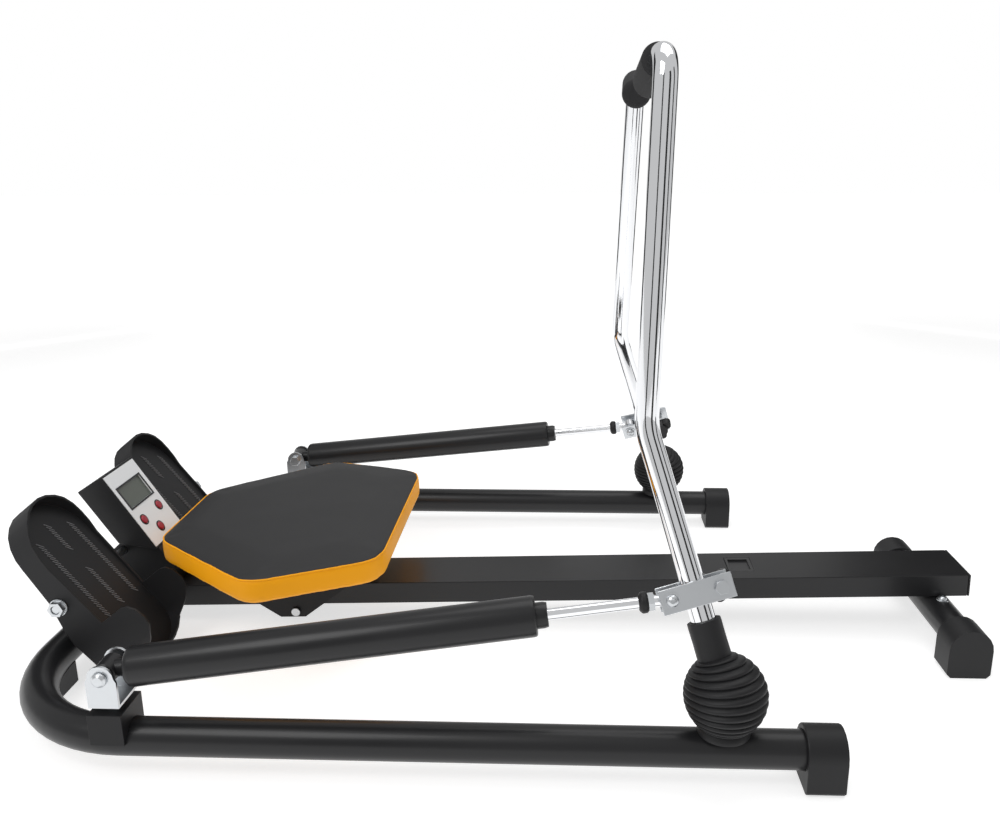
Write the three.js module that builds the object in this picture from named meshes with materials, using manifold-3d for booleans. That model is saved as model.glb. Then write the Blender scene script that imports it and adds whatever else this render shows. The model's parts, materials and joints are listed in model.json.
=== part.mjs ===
// A hydraulic glider rowing machine, in millimetres. +X points to the rear of the machine, +Y to the
// rower's right and +Z up. The floor is z = 0 and the origin is the middle of the footprint.
import * as THREE from "three";
import { mergeVertices } from "three/addons/utils/BufferGeometryUtils.js";
import Module from "manifold-3d";

const wasm = await Module();
wasm.setup();

// ---------------------------------------------------------------- driving dimensions
const GAP = 0.3; // between pieces that touch
const FOOTPRINT_SHIFT = 14.42; // from the drawing's datum to the middle of the footprint
const SIDES = 16; // facets round a frame tube
const PIN_SIDES = 20; // facets round a pin or a bore that turns on it

const BASE = {
  tube: 40, wall: 2, z: 37.5, halfTrack: 339, frontX: -565.5, bend: 155, rearX: 331,
};
const FOOT_CAP = { length: 40, width: 53, top: 63.5, wall: 3, chamfer: 5 };
const FRONT_FOOT = { y: 205, length: 48, width: 36, top: 27 };
const RAIL = { width: 80, height: 30, wall: 2, frontX: -545, rearX: 585.5, rearZ: 74, slope: 1.67 };
const END_CAP = { plate: 3, plug: 16 };
const LATCH = { x: 291, y: 3, length: 34, width: 40, depth: 12 };
const CROSSBAR = { x: 547.8, halfLength: 142.7 };
const POST = { halfWidth: 38, wall: 3, ceiling: 96 };
const AXLE = { x: -547, z: 108.8, radius: 5, halfLength: 206, nutAt: 199, bore: 5.1 };
const NUT = { across: 17, length: 7, washer: 11, washerThickness: 1.6 };
const TREAD = { x: -537.6, z: 132, tilt: 51.5 }; // a point of the tread and its rise towards the toe
const PLATE = {
  y: { left: 142, right: 117 }, halfWidth: 54, toeHalf: 58, toe: 104, heel: -138, heelRound: 34,
  wall: 3, floor: 4,
};
const MONITOR = { halfWidth: 44, shell: 2.5, face: 2, length: 120, depth: 34 };
const SEAT = { x: -320, drop: 37.4, board: 8, boardInset: 30 };
const CARRIAGE = { plate: 3, innerHalf: 42.5, top: 62 };
const ROLLER = { radius: 17, width: 52, pitch: 70, bore: 4.1, axle: 4 };
const GUIDE = { radius: 7, bore: 3.1, axle: 3, s: 6 };
const PIVOT = { x: -415, z: 116 }; // the cylinder's front pin
const CLEVIS = { half: 17, plate: 3, width: 32, base: 82.5, washer: 76.3 };
const SADDLE = { halfWidth: 23, length: 36, low: 41, high: 76 };
const BALL = { x: 213.6, z: 99.5, radius: 42.5 }; // the arm's universal joint, on the base tube's line
const ARM = { tube: 25.4, wall: 1.8, start: 22, kneeRadius: 70, topRadius: 30, clampAt: 104.5 };
const KNEE = [135.4, 242.2, 349.5];
const TOP = [148.4, 201, 728];
const GRIP_END = [141, 92, 699];
const GRIP = { radius: 19, start: 42, cap: 3 };
const CLAMP = { half: 13.1, plate: 2.6, height: 25, eyeAt: -26, boltAt: 25, front: -38, rear: 38 };
const CYLINDER = { radius: 21, bore: 18, front: 21, rear: 441.5, collar: 12, collarRadius: 13 };
const ROD = { radius: 6, piston: 17.8, pistonAt: 303.5, pistonLength: 22, eye: 10, eyeWidth: 12 };
const BUFFER = { radius: 11, length: 10, behindEye: 23 };
const CROSS = { block: 6, pin: 4, bore: 4.1, inner: 8.5, outer: 13, ear: 7, root: 15 };

// ---------------------------------------------------------------- finishes
const finish = (color, roughness, metalness) =>
  new THREE.MeshStandardMaterial({ color, roughness, metalness });
const blackPaint = () => finish(0x17181a, 0.45, 0.2);
const blackPlastic = () => finish(0x1b1c1e, 0.6, 0);
const rubber = () => finish(0x161618, 0.85, 0);
const chrome = () => finish(0xdfe2e6, 0.08, 1);
const zinc = () => finish(0xc9cccf, 0.3, 0.9);
const orangeVinyl = () => finish(0xf39a14, 0.55, 0);
const silverPlastic = () => finish(0xd9dcde, 0.35, 0.1);
const redPlastic = () => finish(0xb5152b, 0.4, 0);

// ---------------------------------------------------------------- geometry helpers
const vec = (x, y, z) => new THREE.Vector3(x, y, z);
const move = (x, y, z) => new THREE.Matrix4().makeTranslation(x, y, z);
const radians = THREE.MathUtils.degToRad;

// A local frame: its X, Y and Z directions, with its origin at a point.
function frame(origin, xAxis, yAxis, zAxis) {
  return new THREE.Matrix4().makeBasis(xAxis, yAxis, zAxis).setPosition(origin);
}

// A frame whose Z runs along a direction, for shapes of revolution.
function alongAxis(origin, direction) {
  const turn = new THREE.Quaternion().setFromUnitVectors(vec(0, 0, 1), direction.clone().normalize());
  return new THREE.Matrix4().makeRotationFromQuaternion(turn).setPosition(origin);
}

function toSolid(geometry) {
  const bare = geometry.index ? geometry.toNonIndexed() : geometry.clone();
  bare.deleteAttribute("normal");
  bare.deleteAttribute("uv");
  const merged = mergeVertices(bare, 1e-4);
  return new wasm.Manifold(new wasm.Mesh({
    numProp: 3,
    vertProperties: merged.attributes.position.array,
    triVerts: new Uint32Array(merged.index.array),
  }));
}

function toGeometry(solid) {
  const mesh = solid.getMesh();
  const geometry = new THREE.BufferGeometry();
  geometry.setAttribute("position", new THREE.BufferAttribute(mesh.vertProperties, 3));
  geometry.setIndex(new THREE.BufferAttribute(mesh.triVerts, 1));
  return geometry;
}

const join = (first, ...rest) =>
  toGeometry(rest.reduce((all, next) => all.add(toSolid(next)), toSolid(first)));
const cut = (body, ...tools) =>
  toGeometry(tools.reduce((left, tool) => left.subtract(toSolid(tool)), toSolid(body)));
const common = (first, second) => toGeometry(toSolid(first).intersect(toSolid(second)));

function box(low, high) {
  const size = vec(high[0] - low[0], high[1] - low[1], high[2] - low[2]);
  return new THREE.BoxGeometry(size.x, size.y, size.z)
    .translate((low[0] + high[0]) / 2, (low[1] + high[1]) / 2, (low[2] + high[2]) / 2);
}

// A solid of revolution about Z from [radius, z] pairs that start and end on the axis.
function turned(profile, sides) {
  const points = profile.map(([r, z]) => new THREE.Vector2(r, z));
  return new THREE.LatheGeometry(points, sides).rotateX(Math.PI / 2);
}

// A plain round bar about Z.
const bar = (radius, low, high, sides = SIDES) =>
  turned([[0, low], [radius, low], [radius, high], [0, high]], sides);

// A round bar between two points.
function barBetween(from, to, radius, sides = SIDES) {
  const run = to.clone().sub(from);
  return bar(radius, 0, run.length(), sides).applyMatrix4(alongAxis(from, run));
}

function outline(points) {
  return new THREE.Shape(points.map(([x, y]) => new THREE.Vector2(x, y)));
}

// A flat outline pushed along Z.
function slab(points, low, high) {
  return new THREE.ExtrudeGeometry(outline(points), { depth: high - low, bevelEnabled: false })
    .translate(0, 0, low);
}

// A side view drawn in X and Z, pushed along Y.
function sideSlab(points, low, high) {
  return slab(points, -high, -low).rotateX(Math.PI / 2);
}

function arcPoints(cx, cy, radius, from, to, steps) {
  return Array.from({ length: steps + 1 }, (_, i) => {
    const angle = radians(from + ((to - from) * i) / steps);
    return [cx + radius * Math.cos(angle), cy + radius * Math.sin(angle)];
  });
}

// A tube's centre line: straight runs with a circular bend at each inner corner.
class Route extends THREE.Curve {
  constructor(corners, radii, stepDegrees = 13) {
    super();
    this.stations = [corners[0]];
    corners.slice(1, -1).forEach((corner, i) => {
      const back = corners[i].clone().sub(corner).normalize();
      const on = corners[i + 2].clone().sub(corner).normalize();
      const turn = Math.PI - back.angleTo(on);
      const reach = radii[i] * Math.tan(turn / 2);
      const start = corner.clone().addScaledVector(back, reach);
      const towards = back.clone().add(on).normalize();
      const centre = corner.clone().addScaledVector(towards, radii[i] / Math.cos(turn / 2));
      const axis = on.clone().cross(back).normalize();
      const steps = Math.max(2, Math.round(THREE.MathUtils.radToDeg(turn) / stepDegrees));
      for (let k = 0; k <= steps; k++) {
        const arm = start.clone().sub(centre).applyAxisAngle(axis, (turn * k) / steps);
        this.stations.push(centre.clone().add(arm));
      }
    });
    this.stations.push(corners[corners.length - 1]);
  }
  get steps() {
    return this.stations.length - 1;
  }
  getPoint(t, target = vec(0, 0, 0)) {
    const at = Math.min(t * this.steps, this.steps - 1e-9);
    const i = Math.floor(at);
    return target.copy(this.stations[i]).lerp(this.stations[i + 1], at - i);
  }
  getPointAt(t, target) {
    return this.getPoint(t, target);
  }
  getTangent(t, target = vec(0, 0, 0)) {
    const i = Math.round(t * this.steps);
    const before = this.stations[Math.max(i - 1, 0)];
    const here = this.stations[i];
    const after = this.stations[Math.min(i + 1, this.steps)];
    const last = here.clone().sub(before).normalize();
    const next = after.clone().sub(here).normalize();
    return target.copy(last.add(next)).normalize();
  }
  getTangentAt(t, target) {
    return this.getTangent(t, target);
  }
}

// A round tube along a route, open at both ends, or a solid bar where the wall is left out.
function tubeAlong(route, radius, wall = 0, sides = SIDES) {
  const circle = (r) => arcPoints(0, 0, r, 0, 360 - 360 / sides, sides - 1);
  const section = outline(circle(radius));
  if (wall > 0) {
    section.holes.push(new THREE.Path(circle(radius - wall).map(([x, y]) => new THREE.Vector2(x, y))));
  }
  return new THREE.ExtrudeGeometry(section, {
    steps: route.steps, extrudePath: route, bevelEnabled: false,
  });
}

const root = new THREE.Group();

// Adds one named piece to a group.
function piece(group, name, geometry, material) {
  const mesh = new THREE.Mesh(geometry, material);
  mesh.name = name;
  group.add(mesh);
}

// ---------------------------------------------------------------- base frame
// The rail's own frame: X along the rail to the rear, Z square to its top, origin on its centre line.
const railUp = radians(RAIL.slope);
const railX = vec(Math.cos(railUp), 0, Math.sin(railUp));
const railZ = vec(-Math.sin(railUp), 0, Math.cos(railUp));
const railFrameAt = (x) => frame(
  vec(x, 0, RAIL.rearZ - (RAIL.rearX - x) * Math.tan(railUp)), railX, vec(0, 1, 0), railZ,
);

function footCap(sides = SIDES) {
  // A D-shaped boot over a tube that runs along Z, with its foot at -Y and its closed face at +Z.
  const half = FOOT_CAP.width / 2;
  const crown = FOOT_CAP.top - BASE.z;
  const low = -BASE.z;
  const section = [
    [-half + FOOT_CAP.chamfer, low], [half - FOOT_CAP.chamfer, low], [half, low + FOOT_CAP.chamfer],
    ...arcPoints(0, 0, 1, 0, 180, 10).map(([x, y]) => [x * half, y * crown]),
    [-half, low + FOOT_CAP.chamfer],
  ];
  const socket = bar(BASE.tube / 2 + GAP, -1, FOOT_CAP.length - FOOT_CAP.wall, sides);
  return cut(slab(section, 0, FOOT_CAP.length), socket);
}

function buildBase() {
  const group = new THREE.Group();
  const track = BASE.halfTrack;
  const corners = [
    vec(BASE.rearX, -track, BASE.z), vec(BASE.frontX, -track, BASE.z),
    vec(BASE.frontX, track, BASE.z), vec(BASE.rearX, track, BASE.z),
  ];
  const baseTube = tubeAlong(new Route(corners, [BASE.bend, BASE.bend]), BASE.tube / 2, BASE.wall);
  const inside = (sign) => barBetween(
    vec(BALL.x - 60, sign * track, BASE.z), vec(BALL.x + 60, sign * track, BASE.z),
    BASE.tube / 2 - BASE.wall,
  );
  const welded = [-1, 1].map((sign) =>
    cut(jointPedestal().applyMatrix4(move(BALL.x, sign * track, BALL.z)), inside(sign)));
  piece(group, "base_tube", join(baseTube, ...welded), blackPaint());

  for (const [side, sign] of [["left", -1], ["right", 1]]) {
    const rearFace = BASE.rearX + FOOT_CAP.wall + GAP;
    const rearward = frame(
      vec(rearFace - FOOT_CAP.length, sign * track, BASE.z), vec(0, 1, 0), vec(0, 0, 1), vec(1, 0, 0),
    );
    piece(group, `rear_foot_cap_${side}`, footCap().applyMatrix4(rearward), rubber());

    const outward = frame(
      vec(CROSSBAR.x, sign * (CROSSBAR.halfLength - FOOT_CAP.length), BASE.z),
      vec(-sign, 0, 0), vec(0, 0, 1), vec(0, sign, 0),
    );
    piece(group, `crossbar_cap_${side}`, footCap().applyMatrix4(outward), rubber());

    const pad = box(
      [BASE.frontX - FRONT_FOOT.width / 2, sign * FRONT_FOOT.y - FRONT_FOOT.length / 2, 0],
      [BASE.frontX + FRONT_FOOT.width / 2, sign * FRONT_FOOT.y + FRONT_FOOT.length / 2, FRONT_FOOT.top],
    );
    piece(group, `front_foot_${side}`, cut(pad, frontTubeRoom(sign)), rubber());
  }

  const crossbarEnds = [-1, 1].map((sign) => vec(CROSSBAR.x, sign * crossbarEnd(), BASE.z));
  const crossbar = tubeAlong(new Route(crossbarEnds, []), BASE.tube / 2, BASE.wall);
  piece(group, "rear_crossbar", crossbar, blackPaint());
  return group;
}

const crossbarEnd = () => CROSSBAR.halfLength - FOOT_CAP.wall - GAP;

// The room that the bent front tube takes, for what sits on it or under it.
function frontTubeRoom(sign) {
  const corners = [
    vec(BASE.frontX, 0, BASE.z), vec(BASE.frontX, sign * BASE.halfTrack, BASE.z),
    vec(0, sign * BASE.halfTrack, BASE.z),
  ];
  return tubeAlong(new Route(corners, [BASE.bend]), BASE.tube / 2 + GAP);
}

function buildRail() {
  const group = new THREE.Group();
  const halfWidth = RAIL.width / 2;
  const halfHeight = RAIL.height / 2;
  const length = (RAIL.rearX - RAIL.frontX) / Math.cos(railUp) - END_CAP.plate - GAP;
  const frontFrame = railFrameAt(RAIL.frontX);
  const outer = box([0, -halfWidth, -halfHeight], [length, halfWidth, halfHeight]);
  const inner = box(
    [-1, -halfWidth + RAIL.wall, -halfHeight + RAIL.wall],
    [length + 1, halfWidth - RAIL.wall, halfHeight - RAIL.wall],
  );
  const latchS = (LATCH.x - RAIL.frontX) / Math.cos(railUp);
  const latchBox = (grow, low, high) => box(
    [latchS - LATCH.length / 2 - grow, LATCH.y - LATCH.width / 2 - grow, low],
    [latchS + LATCH.length / 2 + grow, LATCH.y + LATCH.width / 2 + grow, high],
  );
  const tube = cut(outer, inner, latchBox(GAP, 0, halfHeight + 1));
  piece(group, "rail", tube.applyMatrix4(frontFrame), blackPaint());

  const latchBody = latchBox(0, halfHeight - LATCH.depth, halfHeight - 0.2);
  const fingerRecess = box(
    [latchS - 13, LATCH.y - 16, halfHeight - 3], [latchS + 13, LATCH.y + 16, halfHeight + 1],
  );
  piece(group, "rail_latch", cut(latchBody, fingerRecess).applyMatrix4(frontFrame), blackPlastic());

  const end = length + GAP;
  const capPlate = box([end, -halfWidth, -halfHeight], [end + END_CAP.plate, halfWidth, halfHeight]);
  const inset = RAIL.wall + GAP;
  const capPlug = box(
    [end - END_CAP.plug, -halfWidth + inset, -halfHeight + inset],
    [end + 1, halfWidth - inset, halfHeight - inset],
  );
  piece(group, "rail_end_cap", join(capPlate, capPlug).applyMatrix4(frontFrame), blackPlastic());
  return group;
}

// ---------------------------------------------------------------- foot plates
const MONITOR_FACE = {
  top: [-561.6, 215.2], bottom: [-497.6, 113.6], heel: [-548.8, 120.4], back: [-596, 193.6],
};

function buildPost() {
  const group = new THREE.Group();
  const profile = [
    [-567, 58.6], [-567, 104], [-549.5, 119.9], [-498, 112.9], [-478, 90], [-478, 58.6],
  ];
  const shell = sideSlab(profile, -POST.halfWidth, POST.halfWidth);
  const hollow = box(
    [-567 + POST.wall, -POST.halfWidth + POST.wall, 50],
    [-478 - POST.wall, POST.halfWidth - POST.wall, POST.ceiling],
  );
  const topTrim = box([-500, -50, 84], [-470, 50, POST.ceiling + 1]);
  const bore = bar(AXLE.bore + 0.15, -60, 60, PIN_SIDES)
    .applyMatrix4(alongAxis(vec(AXLE.x, 0, AXLE.z), vec(0, 1, 0)));
  piece(group, "front_post", cut(shell, cut(hollow, topTrim), bore), blackPaint());

  const axle = bar(AXLE.radius, -AXLE.halfLength, AXLE.halfLength, PIN_SIDES)
    .applyMatrix4(alongAxis(vec(AXLE.x, 0, AXLE.z), vec(0, 1, 0)));
  piece(group, "foot_axle", axle, zinc());
  return group;
}

// The tread's own frame: X across the plate, Y towards the toe, Z out of the tread to the foot.
function treadFrame(side, sign) {
  const rise = radians(TREAD.tilt);
  const toe = vec(-Math.cos(rise), 0, Math.sin(rise));
  const out = vec(Math.sin(rise), 0, Math.cos(rise));
  return frame(vec(TREAD.x, sign * PLATE.y[side], TREAD.z), toe.clone().cross(out), toe, out);
}

function soleOutline(inset) {
  const heelCentre = PLATE.heel + PLATE.heelRound;
  const heel = arcPoints(0, 0, 1, 180, 360, 10)
    .map(([x, y]) => [x * (PLATE.halfWidth - inset), heelCentre + y * (PLATE.heelRound - inset)]);
  return [...heel, ...arcPoints(0, PLATE.toe - PLATE.toeHalf, PLATE.toeHalf - inset, 0, 180, 12)];
}

function buildFootPlate(group, side, sign) {
  const rim = [
    [110, 18], [90, 16], [62, 9], [30, 4], [-59, 3], [-59, 34], [-62, 41], [-71, 47], [-85, 49],
    [-96, 46], [-110, 33], [-122, 14], [-145, 6],
  ];
  const back = [
    [-145, -6], [-122, -10], [-112, -36], [-100, -44], [-59, -45], [-40, -41], [-2, -28], [44, -21],
    [90, -18], [110, -15],
  ];
  const sideView = slab([...back, ...rim], -60, 60)
    .applyMatrix4(frame(vec(0, 0, 0), vec(0, 1, 0), vec(0, 0, 1), vec(1, 0, 0)));
  const body = common(slab(soleOutline(0), -60, 60), sideView);
  const footRoom = slab(soleOutline(PLATE.wall), 0, 70);
  const backRoom = slab(soleOutline(PLATE.wall), -70, -PLATE.floor);
  const tray = cut(body, footRoom, backRoom);
  const toLocal = treadFrame(side, sign).invert();
  const pin = vec(AXLE.x, sign * PLATE.y[side], AXLE.z).applyMatrix4(toLocal);
  const across = alongAxis(pin, vec(1, 0, 0));
  const hub = common(
    bar(11, -PLATE.halfWidth + 1, PLATE.halfWidth - 1, SIDES).applyMatrix4(across),
    slab(soleOutline(1), -60, -PLATE.floor + 1),
  );
  const web = common(
    box([-PLATE.halfWidth, pin.y - 3, pin.z], [PLATE.halfWidth, pin.y + 3, -PLATE.floor + 1]),
    slab(soleOutline(1), -60, 0),
  );
  const bore = bar(AXLE.bore, -70, 70, PIN_SIDES).applyMatrix4(across);
  const plate = cut(join(tray, hub, web), bore).applyMatrix4(treadFrame(side, sign));
  piece(group, `foot_plate_${side}`, plate, blackPlastic());

  const hexagon = arcPoints(0, 0, NUT.across / Math.sqrt(3), 0, 300, 5);
  const washer = bar(NUT.washer, 0, NUT.washerThickness);
  const nut = cut(
    join(washer, slab(hexagon, NUT.washerThickness - 0.2, NUT.washerThickness + NUT.length)),
    bar(AXLE.radius + GAP, -1, AXLE.halfLength),
  );
  const seat = alongAxis(
    vec(AXLE.x, sign * AXLE.nutAt, AXLE.z), vec(0, sign, 0),
  );
  piece(group, `axle_nut_${side}`, nut.applyMatrix4(seat), zinc());
}

// ---------------------------------------------------------------- monitor
function buildMonitor() {
  const group = new THREE.Group();
  const { top, bottom, heel, back } = MONITOR_FACE;
  const down = vec(bottom[0] - top[0], 0, bottom[1] - top[1]).normalize();
  const out = vec(-down.z, 0, down.x);
  // The face's frame: X across to +Y, Y up the face, Z out towards the rower; origin at its top edge.
  const face = frame(vec(top[0], 0, top[1]), vec(0, 1, 0), down.clone().negate(), out);
  const half = MONITOR.halfWidth;
  const shell = MONITOR.shell;
  const block = sideSlab([top, back, heel, bottom], -half, half);
  const cavity = box(
    [-half + shell, -MONITOR.length + 24, -MONITOR.depth], [half - shell, -shell, 1],
  ).applyMatrix4(face);
  const floorCavity = box(
    [-half + shell, -MONITOR.length + shell, -14], [half - shell, -40, 1],
  ).applyMatrix4(face);
  piece(group, "monitor_housing", cut(block, cavity, floorCavity), blackPlastic());

  const inset = shell + GAP;
  const window = { low: -half + 12, high: half - 14, bottom: -57, top: -26 };
  const buttons = [["left", -25, -79], ["right", 23, -76], ["centre", -4, -100]];
  const plate = box(
    [-half + inset, -MONITOR.length + inset, -MONITOR.face], [half - inset, -inset, 0],
  );
  const holes = buttons.map(([, x, y]) => bar(6.4, -5, 5).applyMatrix4(move(x, y, 0)));
  const opening = box([window.low, window.bottom, -5], [window.high, window.top, 5]);
  piece(group, "monitor_face", cut(plate, opening, ...holes).applyMatrix4(face), silverPlastic());

  const lcd = box(
    [window.low - 3, window.bottom - 3, -MONITOR.face - GAP - 3],
    [window.high + 3, window.top + 3, -MONITOR.face - GAP],
  );
  piece(group, "monitor_screen", lcd.applyMatrix4(face), finish(0x8f9a8a, 0.2, 0));

  for (const [name, x, y] of buttons) {
    const cap = turned(
      [[0, -6.4], [5, -6.4], [5, -4], [6, -4], [6, 0.8], [4.8, 1.8], [0, 2]], SIDES,
    ).applyMatrix4(move(x, y, 0));
    piece(group, `monitor_button_${name}`, cap.applyMatrix4(face), redPlastic());
  }

  const board = box(
    [-half + shell + 2, -MONITOR.length + 20, -11.4], [half - shell - 2, -shell - 2, -9.8],
  );
  piece(group, "monitor_board", board.applyMatrix4(face), finish(0x1c6b3a, 0.5, 0));
  const battery = bar(7, -25, 25).applyMatrix4(alongAxis(vec(0, -46, -21), vec(1, 0, 0)));
  piece(group, "monitor_battery", battery.applyMatrix4(face), finish(0x40464c, 0.4, 0.6));
  return group;
}

// ---------------------------------------------------------------- seat
function buildSeat() {
  const group = new THREE.Group();
  const hexagon = (inset) => {
    const corners = [
      [-152, -90], [-152, 90], [8, 216], [155, 159], [155, -159], [8, -216],
    ];
    const shrink = (value, by) => value - Math.sign(value) * by;
    return corners.map(([s, y]) => [Math.abs(s) > 20 ? shrink(s, inset) : s, shrink(y, inset)]);
  };
  const rounded = (corners, radius) => {
    const count = corners.length;
    return corners.flatMap((corner, i) => {
      const at = vec(corner[0], corner[1], 0);
      const before = vec(...corners[(i + count - 1) % count], 0);
      const after = vec(...corners[(i + 1) % count], 0);
      const route = new Route([before, at, after], [radius], 16);
      return route.stations.slice(1, -1).map((p) => [p.x, p.y]);
    }).reverse();
  };
  const boardLow = CARRIAGE.top + GAP;
  const cushionLow = boardLow + SEAT.board + GAP;
  const bevel = 7;
  const cushion = new THREE.ExtrudeGeometry(outline(rounded(hexagon(bevel), 34)), {
    depth: SEAT.drop - 2 * bevel, bevelEnabled: true, bevelThickness: bevel, bevelSize: bevel,
    bevelSegments: 2,
  }).translate(0, 0, cushionLow + bevel);
  piece(group, "seat_cushion", toGeometry(toSolid(cushion)), orangeVinyl());
  const boardShape = slab(rounded(hexagon(SEAT.boardInset), 30), boardLow, boardLow + SEAT.board);
  piece(group, "seat_board", boardShape, finish(0x9b7b52, 0.8, 0));

  const cheek = [
    [-100, CARRIAGE.top], [-92, 22], [-60, 0], [-16, -31], [18, -31], [60, 0], [92, 22],
    [100, CARRIAGE.top],
  ];
  const outer = CARRIAGE.innerHalf + CARRIAGE.plate;
  const block = sideSlab(cheek.slice().reverse(), -outer, outer);
  const inside = box(
    [-120, -CARRIAGE.innerHalf, -50],
    [120, CARRIAGE.innerHalf, CARRIAGE.top - CARRIAGE.plate],
  );
  const rollerH = RAIL.height / 2 + ROLLER.radius + GAP;
  const guideH = -RAIL.height / 2 - GUIDE.radius - GAP;
  const axles = [
    ["front", -ROLLER.pitch, rollerH, ROLLER], ["rear", ROLLER.pitch, rollerH, ROLLER],
    ["lower", GUIDE.s, guideH, GUIDE],
  ];
  const holes = axles.map(([, s, h, size]) =>
    bar(size.axle + GAP, -60, 60).applyMatrix4(alongAxis(vec(s, 0, h), vec(0, 1, 0))));
  piece(group, "seat_carriage", cut(block, inside, ...holes), blackPaint());
  for (const [name, s, h, size] of axles) {
    const across = alongAxis(vec(s, 0, h), vec(0, 1, 0));
    const half = ROLLER.width / 2;
    const wheel = cut(bar(size.radius, -half, half, PIN_SIDES), bar(size.bore, -60, 60, PIN_SIDES));
    piece(group, `seat_roller_${name}`, wheel.applyMatrix4(across), finish(0x2c2d30, 0.5, 0));
    const head = size.axle + 3;
    const bolt = join(
      bar(size.axle, -outer - GAP - 1, outer + GAP + 1, PIN_SIDES),
      bar(head, outer + GAP, outer + GAP + 4), bar(head, -outer - GAP - 4, -outer - GAP),
    );
    piece(group, `seat_axle_${name}`, bolt.applyMatrix4(across), zinc());
  }
  group.applyMatrix4(railFrameAt(SEAT.x));
  return group;
}

// ---------------------------------------------------------------- arm, drawn for the right side
const ball = vec(BALL.x, BASE.halfTrack, BALL.z);
const knee = vec(...KNEE);
const armUp = knee.clone().sub(ball).normalize();
const tiltAxis = vec(0, 1, 0).cross(armUp).normalize();
const clampX = vec(1, 0, 0).addScaledVector(armUp, -armUp.x).normalize();
const clampOut = armUp.clone().cross(clampX).normalize();
const clampCentre = ball.clone().addScaledVector(armUp, ARM.clampAt);
const clampFrame = frame(clampCentre, clampX, armUp, clampX.clone().cross(armUp));
const eyePoint = clampCentre.clone().addScaledVector(clampX, CLAMP.eyeAt);
const pivotPoint = vec(PIVOT.x, BASE.halfTrack, PIVOT.z);
const strut = eyePoint.clone().sub(pivotPoint);
const strutLength = strut.length();
const strutFrame = alongAxis(pivotPoint, strut);

function buildArm(group, side) {
  const top = vec(...TOP);
  const gripEnd = vec(...GRIP_END);
  const gripDirection = gripEnd.clone().sub(top).normalize();
  const tubeEnd = gripEnd.clone().addScaledVector(gripDirection, -GRIP.cap - 1);
  const start = ball.clone().addScaledVector(armUp, ARM.start);
  const route = new Route([start, knee, top, tubeEnd], [ARM.kneeRadius, ARM.topRadius]);
  const tube = tubeAlong(route, ARM.tube / 2, ARM.wall, 16);
  // The lower end is closed by a fork that straddles the universal joint's front-to-rear pin.
  const foot = frame(ball, tiltAxis, armUp, tiltAxis.clone().cross(armUp));
  const { inner, outer, ear, bore, root: rootAt } = CROSS;
  const cheek = (sign) => box(
    [Math.min(sign * inner, sign * outer), 0, -ear], [Math.max(sign * inner, sign * outer), 24, ear],
  );
  const round = bar(ear, -outer, outer).applyMatrix4(alongAxis(vec(0, 0, 0), vec(1, 0, 0)));
  const middle = box([-inner, -20, -20], [inner, rootAt, 20]);
  const plug = bar(ARM.tube / 2 - 1, rootAt, 30).applyMatrix4(alongAxis(vec(0, 0, 0), vec(0, 1, 0)));
  const pinHole = bar(bore, -40, 40, PIN_SIDES).applyMatrix4(alongAxis(vec(0, 0, 0), vec(1, 0, 0)));
  const fork = cut(join(cheek(-1), cheek(1), round, plug), middle, pinHole).applyMatrix4(foot);
  piece(group, `arm_${side}`, join(tube, fork), chrome());

  const grip = turned([
    [0, GRIP.start], [GRIP.radius - 4, GRIP.start], [GRIP.radius, GRIP.start + 4],
    [GRIP.radius, top.distanceTo(gripEnd) - 5], [GRIP.radius - 5, top.distanceTo(gripEnd)],
    [0, top.distanceTo(gripEnd)],
  ], SIDES);
  const gripBore = bar(ARM.tube / 2 + GAP, 0, top.distanceTo(tubeEnd) + GAP);
  piece(group, `grip_${side}`,
    cut(grip, gripBore).applyMatrix4(alongAxis(top, gripDirection)), rubber());
}

function buildClamp(group, side) {
  const { half, plate, height, eyeAt, boltAt, front, rear } = CLAMP;
  const across = (x) => alongAxis(vec(x, 0, 0), vec(0, 0, 1));
  for (const [name, low, high] of [["inner", half, half + plate], ["outer", -half - plate, -half]]) {
    const strap = cut(
      box([front, -height / 2, low], [rear, height / 2, high]),
      bar(4 + GAP, -60, 60).applyMatrix4(across(boltAt)),
      bar(4 + GAP, -60, 60).applyMatrix4(across(eyeAt)),
    );
    piece(group, `clamp_plate_${name}_${side}`, strap.applyMatrix4(clampFrame), zinc());
  }
  const boltLength = half + plate + GAP;
  const lobes = Array.from({ length: 3 }, (_, i) => {
    const angle = radians(30 + 120 * i);
    return bar(7, 0, 12, 12).applyMatrix4(move(12 * Math.cos(angle), 12 * Math.sin(angle), 0));
  });
  const nut = slab(arcPoints(0, 0, 7.5, 0, 300, 5), -2 * boltLength - 6, -2 * boltLength);
  const knob = join(bar(11, 0, 15, 16), ...lobes, bar(4, -2 * boltLength - 4, 1, 16), nut)
    .applyMatrix4(move(boltAt, 0, boltLength));
  piece(group, `clamp_knob_${side}`, knob.applyMatrix4(clampFrame), blackPlastic());
}

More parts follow.
